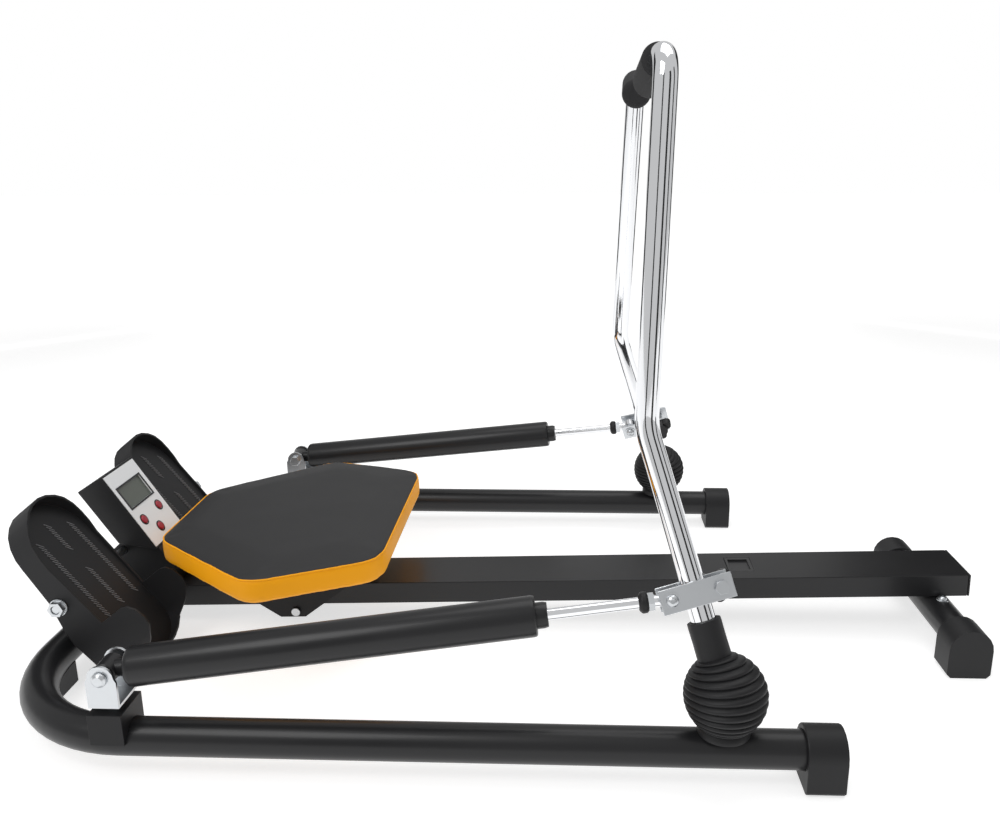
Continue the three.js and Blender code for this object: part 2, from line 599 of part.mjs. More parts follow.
// The fork welded on the base tube that carries the universal joint's side-to-side pin, about the joint.
function jointPedestal() {
  const { inner, outer, ear, bore } = CROSS;
  const tubeTop = BASE.z + BASE.tube / 2 - BALL.z;
  const cheek = (sign) => box(
    [-ear, Math.min(sign * inner, sign * outer), -19], [ear, Math.max(sign * inner, sign * outer), 0],
  );
  const round = bar(ear, -outer, outer).applyMatrix4(alongAxis(vec(0, 0, 0), vec(0, 1, 0)));
  const bridge = box([-ear, -outer, -22], [ear, outer, -16]);
  const stem = bar(9, tubeTop - 1, -18, 16);
  const flange = bar(15, tubeTop - 12, tubeTop + 3);
  const middle = box([-20, -inner, -16], [20, inner, 20]);
  const pinHole = bar(bore, -40, 40, PIN_SIDES).applyMatrix4(alongAxis(vec(0, 0, 0), vec(0, 1, 0)));
  return cut(join(cheek(-1), cheek(1), round, bridge, stem, flange), middle, pinHole);
}

function buildUniversalJoint(group, side) {
  const { block, pin, outer } = CROSS;
  const place = move(ball.x, ball.y, ball.z);
  const cross = join(
    box([-block, -block, -block], [block, block, block]),
    bar(pin, -outer, outer, PIN_SIDES).applyMatrix4(alongAxis(vec(0, 0, 0), vec(0, 1, 0))),
    bar(pin, -outer, outer, PIN_SIDES).applyMatrix4(alongAxis(vec(0, 0, 0), tiltAxis)),
  );
  piece(group, `joint_cross_${side}`, cross.applyMatrix4(place), zinc());
}

function buildBoot(group, side) {
  const { radius } = BALL;
  const low = BASE.z + BASE.tube / 2 - ball.z + GAP;
  const wall = 3.5;
  const globe = (r, flat, footRadius) => {
    const from = -THREE.MathUtils.radToDeg(Math.acos(footRadius / r));
    return turned([[0, flat], [footRadius, flat], ...arcPoints(0, 0, r, from, 84, 9), [0, r]], SIDES);
  };
  const neckBar = (r, from, to) => barBetween(
    ball.clone().addScaledVector(armUp, from).sub(ball), ball.clone().addScaledVector(armUp, to).sub(ball), r,
  );
  const outer = join(globe(radius, low, 27), neckBar(17.5, 20, 76));
  const opened = cut(
    outer, globe(radius - wall, low - 6, 27 - wall), neckBar(ARM.tube / 2 + GAP, 10, 80),
  );
  piece(group, `ball_boot_${side}`, opened.applyMatrix4(move(ball.x, ball.y, ball.z)), rubber());
}

// ---------------------------------------------------------------- cylinder, drawn for the right side
function buildCylinder(group, side) {
  const track = BASE.halfTrack;
  const saddle = cut(
    box(
      [PIVOT.x - SADDLE.length / 2, track - SADDLE.halfWidth, SADDLE.low],
      [PIVOT.x + SADDLE.length / 2, track + SADDLE.halfWidth, SADDLE.high],
    ),
    frontTubeRoom(1),
  );
  piece(group, `cylinder_mount_${side}`, saddle, blackPaint());

  const { half, plate, width, base, washer } = CLEVIS;
  const earView = [
    [width / 2, base], [width / 2, PIVOT.z - 4],
    ...arcPoints(0, PIVOT.z, 14, 0, 180, 8), [-width / 2, PIVOT.z - 4], [-width / 2, base],
  ];
  const body = sideSlab(earView, -half - plate, half + plate);
  const room = box([-30, -half, base + plate], [30, half, PIVOT.z + 30]);
  const pinAt = alongAxis(vec(0, 0, PIVOT.z), vec(0, 1, 0));
  const spacer = bar(9, washer, base + 0.5);
  const clevis = cut(join(body, spacer), room, bar(5 + GAP, -60, 60).applyMatrix4(pinAt));
  const place = move(PIVOT.x, track, 0);
  piece(group, `clevis_${side}`, clevis.applyMatrix4(place), zinc());

  const reach = half + plate + GAP;
  const pivotPin = join(
    bar(5, -reach - 1, reach + 1, PIN_SIDES),
    turned([[0, -1], [8, -1], [8, 1.5], [5, 4], [0, 4.6]], SIDES).applyMatrix4(move(0, 0, reach + 1)),
    slab(arcPoints(0, 0, 8.6, 0, 300, 5), -reach - 6, -reach),
  ).applyMatrix4(pinAt);
  piece(group, `pivot_pin_${side}`, pivotPin.applyMatrix4(place), zinc());

  const c = CYLINDER;
  const barrel = turned([
    [0, c.front], [15, c.front], [c.radius, c.front + 5], [c.radius, c.rear],
    [c.collarRadius, c.rear], [c.collarRadius, c.rear + c.collar], [ROD.radius + 0.12, c.rear + c.collar],
    [ROD.radius + 0.12, c.rear - 14], [c.bore, c.rear - 14], [c.bore, c.front + 14], [0, c.front + 14],
  ], PIN_SIDES).applyMatrix4(strutFrame);
  const lugBar = bar(12, -12.5, 12.5).applyMatrix4(alongAxis(pivotPoint, vec(0, 1, 0)));
  const neck = bar(9, 4, c.front + 6, 16).applyMatrix4(strutFrame);
  const eyeHole = bar(5.1, -60, 60, PIN_SIDES).applyMatrix4(alongAxis(pivotPoint, vec(0, 1, 0)));
  piece(group, `cylinder_${side}`, cut(join(barrel, lugBar, neck), eyeHole), blackPaint());

  const shank = join(
    bar(ROD.radius, ROD.pistonAt, strutLength - 4, PIN_SIDES),
    bar(ROD.piston, ROD.pistonAt, ROD.pistonAt + ROD.pistonLength, PIN_SIDES),
  ).applyMatrix4(strutFrame);
  const eye = bar(ROD.eye, -ROD.eyeWidth / 2, ROD.eyeWidth / 2)
    .applyMatrix4(alongAxis(eyePoint, clampOut));
  piece(group, `piston_rod_${side}`, join(shank, eye), chrome());

  const bufferAt = strutLength - BUFFER.behindEye - BUFFER.length;
  const buffer = cut(turned([
    [0, bufferAt], [8, bufferAt], [BUFFER.radius, bufferAt + 3],
    [BUFFER.radius, bufferAt + BUFFER.length - 2], [9, bufferAt + BUFFER.length],
    [0, bufferAt + BUFFER.length],
  ], SIDES), bar(ROD.radius + GAP, 0, strutLength)).applyMatrix4(strutFrame);
  piece(group, `rod_buffer_${side}`, buffer, rubber());
}

// ---------------------------------------------------------------- assembly
root.add(buildBase(), buildRail(), buildPost(), buildMonitor(), buildSeat());
for (const [side, sign] of [["left", -1], ["right", 1]]) {
  buildFootPlate(root, side, sign);
  const half = new THREE.Group();
  buildArm(half, side);
  buildClamp(half, side);
  buildUniversalJoint(half, side);
  buildBoot(half, side);
  buildCylinder(half, side);
  half.scale.y = sign;
  root.add(half);
}

// The footprint's middle goes to the origin.
root.position.x = FOOTPRINT_SHIFT;

export default root;
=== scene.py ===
"""A hydraulic glider rowing machine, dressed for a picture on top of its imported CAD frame."""

import json
import logging
import math
from dataclasses import dataclass, field
from enum import Enum
from typing import Callable, Iterable, Sequence

import bpy
from mathutils import Matrix, Quaternion, Vector


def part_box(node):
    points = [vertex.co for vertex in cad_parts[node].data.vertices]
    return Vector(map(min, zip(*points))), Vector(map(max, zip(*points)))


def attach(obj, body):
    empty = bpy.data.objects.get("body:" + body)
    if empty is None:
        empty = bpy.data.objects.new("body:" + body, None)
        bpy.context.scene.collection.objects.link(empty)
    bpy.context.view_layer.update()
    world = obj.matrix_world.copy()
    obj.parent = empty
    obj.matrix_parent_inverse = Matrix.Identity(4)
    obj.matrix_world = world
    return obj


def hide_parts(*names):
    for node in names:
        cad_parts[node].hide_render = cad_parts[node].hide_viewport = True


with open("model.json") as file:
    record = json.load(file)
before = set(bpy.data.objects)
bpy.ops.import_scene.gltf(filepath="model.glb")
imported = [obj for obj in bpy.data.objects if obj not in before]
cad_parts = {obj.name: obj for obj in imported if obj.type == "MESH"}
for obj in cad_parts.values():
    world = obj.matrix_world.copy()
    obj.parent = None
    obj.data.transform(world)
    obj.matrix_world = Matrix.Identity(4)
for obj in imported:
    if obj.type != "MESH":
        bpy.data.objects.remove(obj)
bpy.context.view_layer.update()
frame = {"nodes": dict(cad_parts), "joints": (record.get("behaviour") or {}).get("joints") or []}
LOG = logging.getLogger("rowing_machine")
MM = 0.001


class Side(Enum):
    """The rower's left or right, with the sign of its Y."""

    LEFT = -1
    RIGHT = 1

    @property
    def word(self) -> str:
        """The side's name as it stands in piece and body names."""
        return self.name.lower()


def mm(*values: float) -> Vector:
    """A point or a direction given in millimetres."""
    return Vector(values) * MM


def joint(name: str) -> dict:
    """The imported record's entry for one joint."""
    return next(j for j in frame["joints"] if j["name"] == name)


def pivot(name: str) -> Vector:
    """The point that a hinge turns about, at rest."""
    return Vector(joint(name)["pos_m"])


def axis(name: str) -> Vector:
    """The direction of a joint's axis, at rest."""
    return Vector(joint(name)["axis"]).normalized()


def mirrored(vector: Vector, side: Side) -> Vector:
    """A vector drawn for the right side, moved to the given side."""
    return Vector((vector.x, vector.y * side.value, vector.z))


# ---------------------------------------------------------------------------- shaders
class Value:
    """A number in a shader, which takes part in ordinary arithmetic."""

    def __init__(self, graph: "Graph", socket: bpy.types.NodeSocket) -> None:
        """Wraps a socket of a graph."""
        self.graph = graph
        self.socket = socket

    def __radd__(self, other: float) -> "Value":
        """Their sum, with the number on the left."""
        return self.graph.math("ADD", self, other)

    def __rsub__(self, other: float) -> "Value":
        """Their difference, with the number on the left."""
        return self.graph.math("SUBTRACT", other, self)

    def __mul__(self, other: "Value | float") -> "Value":
        """Their product."""
        return self.graph.math("MULTIPLY", self, other)


class Graph:
    """A material's node tree, built one call at a time."""

    def __init__(self, name: str) -> None:
        """Starts an empty material of that name."""
        self.material = bpy.data.materials.new(name)
        self.material.use_nodes = True
        self.tree = self.material.node_tree
        self.tree.nodes.clear()

    def node(self, kind: str, settings: dict | None = None, **sockets: object) -> bpy.types.Node:
        """Adds a node.

        Args:
            kind: The node's type, such as ShaderNodeTexNoise.
            settings: Its own properties.
            sockets: Its inputs by name, with underscores for spaces. A Value is linked, anything
                else is set on the socket.

        Returns:
            The new node.
        """
        node = self.tree.nodes.new(kind)
        for key, value in (settings or {}).items():
            setattr(node, key, value)
        for key, value in sockets.items():
            self.feed(node.inputs[key.replace("_", " ")], value)
        return node

    def feed(self, socket: bpy.types.NodeSocket, value: object) -> None:
        """Gives a socket its input.

        Args:
            socket: The socket.
            value: A Value or another socket, which is linked, or a constant, which is set.
        """
        if isinstance(value, Value):
            self.tree.links.new(value.socket, socket)
        elif isinstance(value, bpy.types.NodeSocket):
            self.tree.links.new(value, socket)
        else:
            socket.default_value = value

    def math(self, operation: str, first: "Value | float", second: "Value | float") -> Value:
        """One Math node.

        Args:
            operation: What it does.
            first: Its first input.
            second: Its second input.

        Returns:
            Its result.
        """
        node = self.node("ShaderNodeMath", {"operation": operation})
        self.feed(node.inputs[0], first)
        self.feed(node.inputs[1], second)
        return Value(self, node.outputs[0])

    def place(self) -> bpy.types.NodeSocket:
        """The shaded point in the object's own coordinates."""
        return self.node("ShaderNodeTexCoord").outputs["Object"]

    def noise(self, scale: float, detail: float = 3.0) -> Value:
        """Soft noise from 0 to 1, with that many features per metre."""
        node = self.node("ShaderNodeTexNoise", Vector=self.place(), Scale=scale, Detail=detail)
        return Value(self, node.outputs["Fac"])

    def cells(self, scale: float) -> Value:
        """The distance to the nearest of that many cells per metre."""
        node = self.node("ShaderNodeTexVoronoi", Vector=self.place(), Scale=scale)
        return Value(self, node.outputs["Distance"])

    def mix(self, amount: Value, low: Sequence[float], high: Sequence[float]) -> bpy.types.NodeSocket:
        """A colour between two.

        Args:
            amount: How far it lies from the first to the second, from 0 to 1.
            low: The first colour.
            high: The second colour.

        Returns:
            The socket that gives the colour.
        """
        node = self.tree.nodes.new("ShaderNodeMix")
        node.data_type = "RGBA"
        self.feed(node.inputs[0], amount)
        node.inputs[6].default_value = (*low, 1.0)
        node.inputs[7].default_value = (*high, 1.0)
        return node.outputs[2]

    def bump(self, height: Value, strength: float, depth: float) -> bpy.types.NodeSocket:
        """A normal from a height, with the depth of its relief in metres."""
        return self.node("ShaderNodeBump", Height=height, Strength=strength, Distance=depth).outputs[0]

    def finish(self, **sockets: object) -> bpy.types.Material:
        """Ends the tree with a Principled shader that takes these inputs."""
        shader = self.node("ShaderNodeBsdfPrincipled", **sockets)
        output = self.node("ShaderNodeOutputMaterial")
        self.tree.links.new(shader.outputs[0], output.inputs[0])
        return self.material


@dataclass(frozen=True)
class Finish:
    """A surface: its colour, how it shines, and the fine relief and wear on it.

    The grain is in features per metre and the relief in metres. Wear is the share by which the
    roughness varies from place to place, and shade the share by which the colour does.
    """

    name: str
    slot: str
    colour: tuple[float, float, float]
    roughness: float = 0.5
    metallic: float = 0.0
    coat: float = 0.0
    specular: float = 0.5
    grain: float = 900.0
    relief: float = 0.00002
    wear: float = 0.12
    shade: float = 0.08
    cloud: float = 14.0
    cloud_detail: float = 4.0
    coat_roughness: float = 0.12
    bump_strength: float = 0.5

    def height(self, graph: Graph) -> Value:
        """The relief's height."""
        return graph.noise(self.grain)

    def material(self) -> bpy.types.Material:
        """The finish's material, made on first use."""
        made = bpy.data.materials.get(self.name)
        if made:
            return made
        graph = Graph(self.name)
        cloud = graph.noise(self.cloud, self.cloud_detail)
        deep = tuple(c * (1 - self.shade) for c in self.colour)
        light = tuple(min(1.0, c * (1 + self.shade)) for c in self.colour)
        return graph.finish(
            Base_Color=graph.mix(cloud, deep, light),
            Roughness=self.roughness * (1 - self.wear) + cloud * (2 * self.wear * self.roughness),
            Metallic=self.metallic,
            Coat_Weight=self.coat,
            Coat_Roughness=self.coat_roughness,
            Specular_IOR_Level=self.specular,
            Normal=graph.bump(self.height(graph), self.bump_strength, self.relief),
        )


@dataclass(frozen=True)
class PebbledFinish(Finish):
    """A surface with rounded grains, such as vinyl or foam skin."""

    def height(self, graph: Graph) -> Value:
        """Domes between the cells' edges."""
        return 1.0 - graph.cells(self.grain)


PAINT = Finish(
    "black_powder_coat", "black_paint", (0.012, 0.012, 0.013), 0.34,
    coat=0.06, specular=0.32, grain=1400,
)
FLAT_PAINT = Finish(
    "black_bracket_paint", "black_paint", (0.009, 0.009, 0.010), 0.48, specular=0.28, grain=1200,
)
PLASTIC = Finish(
    "black_moulded_plastic", "black_plastic", (0.013, 0.013, 0.014), 0.45, specular=0.3, grain=1600,
)
TREAD = Finish(
    "tread_plastic", "black_plastic", (0.014, 0.014, 0.015), 0.5, specular=0.28, grain=1600,
)
# Painted highlight: the ribs are the tread's own black plastic, coloured light grey to stand for the
# light that their tops catch.
RIB_HIGHLIGHT = Finish("tread_rib_plastic", "black_plastic", (0.16, 0.16, 0.165), 0.35, grain=1600)
RUBBER = Finish(
    "black_rubber", "rubber", (0.011, 0.011, 0.012), 0.5,
    specular=0.32, grain=1100, relief=0.00004,
)
FOAM = PebbledFinish("black_foam", "rubber", (0.009, 0.009, 0.010), 0.8, grain=1500, relief=0.0002)
CHROME = Finish(
    "polished_chrome", "chrome", (0.86, 0.87, 0.89), 0.07, 1.0, relief=0.000002, shade=0.02,
)
ZINC = Finish("bright_zinc", "zinc", (0.60, 0.62, 0.64), 0.3, 1.0, grain=700, relief=0.00001)
CHARCOAL = PebbledFinish(
    "charcoal_vinyl", "orange_vinyl", (0.024, 0.024, 0.025), 0.6,
    specular=0.35, grain=1300, relief=0.00012,
)
YELLOW = PebbledFinish(
    "yellow_vinyl", "orange_vinyl", (0.98, 0.40, 0.0), 0.55,
    specular=0.3, grain=1300, relief=0.00008, shade=0.03,
)
SILVER = Finish("silver_plastic", "silver_plastic", (0.74, 0.75, 0.77), 0.32, coat=0.3, shade=0.02)
SCREEN = Finish(
    "liquid_crystal_screen", "screen_glass", (0.095, 0.108, 0.09), 0.25, coat=0.3, shade=0.04,
)
BEZEL = Finish("screen_bezel", "black_plastic", (0.012, 0.012, 0.013), 0.3)
RED = Finish("red_key_plastic", "red_plastic", (0.36, 0.008, 0.025), 0.35, coat=0.3)
BOARD = Finish("circuit_board_green", "circuit_board", (0.02, 0.16, 0.06), 0.4, coat=0.4)
CELL = Finish("battery_can", "battery_can", (0.25, 0.27, 0.3), 0.35, 0.8)
WOOD = Finish("seat_plywood", "plywood", (0.45, 0.30, 0.16), 0.7, grain=300, relief=0.0001)
CARD = Finish("studio_card_black", "", (0.01, 0.01, 0.01), 0.9)


# ---------------------------------------------------------------------------- modelling
@dataclass(frozen=True)
class Ring:
    """One round section of a loft."""

    centre: Vector
    axis: Vector
    radius: float


class Bench:
    """Models one piece at a time with Blender's own operators."""

    SHARP = 38.0  # an edge that turns by more than this, in degrees, is rounded
    CREASE = 35.0  # an edge that turns by more than this, in degrees, is shaded as an edge
    CAD_CREASE = 32.0  # the same for a copy of a CAD node
    FLAT = 2.0  # CAD faces within this, in degrees, become one polygon
    DOUBLE = 1e-6  # points closer than this, in metres, are one point
    AXIS_RADIUS = 0.02  # a profile's points stay this far, in millimetres, off its axis

    @staticmethod
    def clear() -> None:
        """Leaves nothing selected, in object mode."""
        if bpy.context.object and bpy.context.object.mode != "OBJECT":
            bpy.ops.object.mode_set(mode="OBJECT")
        bpy.ops.object.select_all(action="DESELECT")

    @classmethod
    def only(cls, piece: bpy.types.Object) -> None:
        """Selects one object and makes it the active one."""
        cls.clear()
        piece.select_set(True)
        bpy.context.view_layer.objects.active = piece

    @classmethod
    def edit(cls, piece: bpy.types.Object, *steps: Callable[[], object]) -> None:
        """Runs edit mode steps on the whole of a piece.

        Args:
            piece: The piece.
            steps: The steps in order, each of which may change what is selected.
        """
        cls.only(piece)
        bpy.ops.object.mode_set(mode="EDIT")
        bpy.ops.mesh.select_mode(type="VERT")
        bpy.ops.mesh.select_all(action="SELECT")
        for step in steps:
            step()
        bpy.ops.object.mode_set(mode="OBJECT")

    @classmethod
    def settle(cls, name: str, angle: float = CREASE) -> bpy.types.Object:
        """Names the active piece, applies its place and shades it.

        Args:
            name: The piece's name.
            angle: Edges sharper than this, in degrees, stay sharp.

        Returns:
            The piece.
        """
        piece = bpy.context.object
        piece.name = name
        piece.data.name = name
        bpy.ops.object.transform_apply(location=True, rotation=True, scale=True)
        cls.edit(
            piece,
            lambda: bpy.ops.mesh.remove_doubles(threshold=cls.DOUBLE),
            lambda: bpy.ops.mesh.normals_make_consistent(inside=False),
        )
        bpy.ops.object.shade_smooth_by_angle(angle=math.radians(angle))
        return piece

    @classmethod
    def apply(cls, piece: bpy.types.Object, kind: str, **settings: object) -> bpy.types.Object:
        """Adds a modifier to a piece and applies it.

        Args:
            piece: The piece.
            kind: The modifier's type.
            settings: Its properties.

        Returns:
            The piece.
        """
        cls.only(piece)
        modifier = piece.modifiers.new(kind.lower(), kind)
        for key, value in settings.items():
            setattr(modifier, key, value)
        bpy.ops.object.modifier_apply(modifier=modifier.name)
        return piece

    @classmethod
    def soften(cls, piece: bpy.types.Object, width: float, segments: int = 2) -> bpy.types.Object:
        """Rounds a piece's sharp edges.

        Args:
            piece: The piece.
            width: How far each edge is rounded, in metres.
            segments: The strips that each rounding is made of.

        Returns:
            The piece.
        """
        cls.apply(
            piece, "BEVEL", width=width, segments=segments, limit_method="ANGLE",
            angle_limit=math.radians(cls.SHARP), harden_normals=False,
        )
        bpy.ops.object.shade_smooth_by_angle(angle=math.radians(cls.CREASE))
        return piece

    @classmethod
    def block(cls, name: str, low: Vector, high: Vector, round_by: float = 0.0) -> bpy.types.Object:
        """A box with its edges rounded.

        Args:
            name: The piece's name.
            low: Its corner with the least coordinates.
            high: The opposite corner.
            round_by: How far its edges are rounded, in metres.

        Returns:
            The piece.
        """
        cls.clear()
        bpy.ops.mesh.primitive_cube_add(size=1, location=(low + high) / 2)
        bpy.context.object.scale = high - low
        piece = cls.settle(name)
        return cls.soften(piece, round_by, 3) if round_by else piece

    @classmethod
    def loft(cls, name: str, rings: Sequence[Ring], sides: int = 48, capped: bool = True,
             angle: float = CREASE) -> bpy.types.Object:
        """A round skin through a row of rings, from a grid rolled up edge to edge.

        Args:
            name: The piece's name.
            rings: Its sections in order.
            sides: Its facets round.
            capped: Whether its two ends are closed.
            angle: Edges sharper than this, in degrees, stay sharp.

        Returns:
            The piece.
        """
        cls.clear()
        bpy.ops.mesh.primitive_grid_add(x_subdivisions=sides, y_subdivisions=len(rings) - 1, size=1)
        mesh = bpy.context.object.data
        across = rings[0].axis.orthogonal().normalized()
        index = 0
        for ring in rings:
            along = ring.axis.normalized()
            across = (across - along * across.dot(along)).normalized()
            other = along.cross(across)
            for step in range(sides + 1):
                turn = math.tau * step / sides
                spoke = across * math.cos(turn) + other * math.sin(turn)
                mesh.vertices[index].co = ring.centre + spoke * ring.radius
                index += 1
        piece = bpy.context.object
        if capped:
            cls.edit(
                piece,
                lambda: bpy.ops.mesh.remove_doubles(threshold=cls.DOUBLE),
                lambda: bpy.ops.mesh.select_all(action="DESELECT"),
                lambda: bpy.ops.mesh.select_non_manifold(),
                lambda: bpy.ops.mesh.edge_face_add(),
                lambda: bpy.ops.mesh.fill_holes(sides=0),
            )
        return cls.settle(name, angle)

    @classmethod
    def turned(cls, name: str, origin: Vector, direction: Vector,
               profile: Iterable[tuple[float, float]], sides: int = 48,
               capped: bool = True) -> bpy.types.Object:
        """A solid of revolution.

        Args:
            name: The piece's name.
            origin: The point that heights are counted from.
            direction: The way they are counted.
            profile: Pairs of radius and height, in millimetres.
            sides: Its facets round.
            capped: Whether its two ends are closed.

        Returns:
            The piece.
        """
        way = direction.normalized()
        rings = [Ring(origin + way * (height * MM), way, max(radius, cls.AXIS_RADIUS) * MM)
                 for radius, height in profile]
        return cls.loft(name, rings, sides, capped)

    @classmethod
    def pipe(cls, name: str, stations: Sequence[Vector], radius: float,
             sides: int = 48) -> bpy.types.Object:
        """A round bar through a row of points.

        Args:
            name: The piece's name.
            stations: The points in order.
            radius: Its radius, in metres.
            sides: Its facets round.

        Returns:
            The piece.
        """
        rings = []
        for index, point in enumerate(stations):
            before = stations[max(index - 1, 0)]
            after = stations[min(index + 1, len(stations) - 1)]
            last = (point - before).normalized()
            coming = (after - point).normalized()
            rings.append(Ring(point, (last + coming).normalized(), radius))
        return cls.loft(name, rings, sides)

    @classmethod
    def from_cad(cls, node: str, name: str, round_by: float = 0.0,
                 merge: bool = True) -> bpy.types.Object:
        """A smooth copy of a CAD node, which it stands for.

        Args:
            node: The CAD node.
            name: The piece's name.
            round_by: How far its sharp edges are rounded, in metres.
            merge: Whether its flat faces become single polygons first.

        Returns:
            The piece.
        """
        cls.clear()
        piece = bpy.data.objects.new(name, frame["nodes"][node].data.copy())
        bpy.context.scene.collection.objects.link(piece)
        cls.only(piece)
        bpy.ops.mesh.customdata_custom_splitnormals_clear()
        cls.settle(name, cls.CAD_CREASE)
        if round_by and merge:
            flat = math.radians(cls.FLAT)
            cls.edit(piece, lambda: bpy.ops.mesh.dissolve_limited(angle_limit=flat))
        if round_by:
            cls.soften(piece, round_by)
        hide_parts(node)
        return piece


def bent(corners: Sequence[Vector], radii: Sequence[float], step: float = 6.0) -> list[Vector]:
    """The centre line of a bent tube.

    Args:
        corners: Where its straight runs would meet.
        radii: The bend at each inner corner, in metres.
        step: The turn between two stations, in degrees.

    Returns:
        Its stations in order.
    """
    stations = [corners[0].copy()]
    for before, corner, after, radius in zip(corners, corners[1:], corners[2:], radii):
        back = (before - corner).normalized()
        onward = (after - corner).normalized()
        turn = math.pi - back.angle(onward)
        start = corner + back * (radius * math.tan(turn / 2))
        centre = corner + (back + onward).normalized() * (radius / math.cos(turn / 2))
        hinge = onward.cross(back).normalized()
        count = max(2, round(math.degrees(turn) / step))
        for index in range(count + 1):
            arm = Quaternion(hinge, turn * index / count) @ (start - centre)
            stations.append(centre + arm)
    stations.append(corners[-1].copy())
    return stations


def dress(piece: bpy.types.Object, finish: Finish, body: str, *nodes: str) -> bpy.types.Object:
    """Gives a piece its finish, its body and the CAD nodes that it stands for.

    Args:
        piece: The piece.
        finish: Its surface.
        body: The CAD body that it rides on.
        nodes: The CAD nodes that it replaces.

    Returns:
        The piece.
    """
    piece.data.materials.clear()
    piece.data.materials.append(finish.material())
    if nodes:
        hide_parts(*nodes)
    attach(piece, body)
    LOG.info("%s on %s", piece.name, body)
    return piece


def skin(node: str, finish: Finish, body: str, round_by: float = 0.0,
         merge: bool = True) -> bpy.types.Object:
    """Dresses a smooth copy of a CAD node and names it after the node.

    Args:
        node: The CAD node.
        finish: The copy's surface.
        body: The CAD body that it rides on.
        round_by: How far its sharp edges are rounded, in metres.
        merge: Whether its flat faces become single polygons first.

    Returns:
        The piece.
    """
    return dress(Bench.from_cad(node, f"{node}_skin", round_by, merge), finish, body)


def basis(origin: Vector, across: Vector, along: Vector, out: Vector) -> Matrix:
    """The frame with these X, Y and Z directions at a point."""
    return Matrix.Translation(origin) @ Matrix((across, along, out)).transposed().to_4x4()


@dataclass(frozen=True)
class DomeBolt:
    """A zinc bolt's washer and domed head, in millimetres, with ratios to the head's radius."""

    radius: float
    washer_ratio: float = 1.35
    washer_top: float = 1.1
    skirt: float = 2.0
    rise_ratio: float = 0.62
    socket_ratio: float = 0.4
    socket_floor_ratio: float = 0.36
    socket_depth: float = 0.8
    sides: int = 32

    def profile(self) -> list[tuple[float, float]]:
        """The outline of the washer, the head and its socket."""
        radius = self.radius
        top = self.skirt + radius * self.rise_ratio
        washer = radius * self.washer_ratio
        dome = []
        for degrees in range(15, 80, 15):
            angle = math.radians(degrees)
            rise = radius * self.rise_ratio * math.sin(angle)
            dome.append((radius * math.cos(angle), self.skirt + rise))
        return [
            (0, 0.05), (washer, 0.05), (washer, self.washer_top), (radius, self.washer_top),
            (radius, self.skirt), *dome, (radius * self.socket_ratio, top),
            (radius * self.socket_floor_ratio, top - self.socket_depth), (0, top - self.socket_depth),
        ]

    def place(self, name: str, seat: Vector, way: Vector, body: str) -> None:
        """Sets one bolt.

        Args:
            name: The piece's name.
            seat: Where its washer meets the part under it.
            way: The direction that it stands out in.
            body: The body that it rides on.
        """
        dress(Bench.turned(name, seat, way, self.profile(), self.sides), ZINC, body)


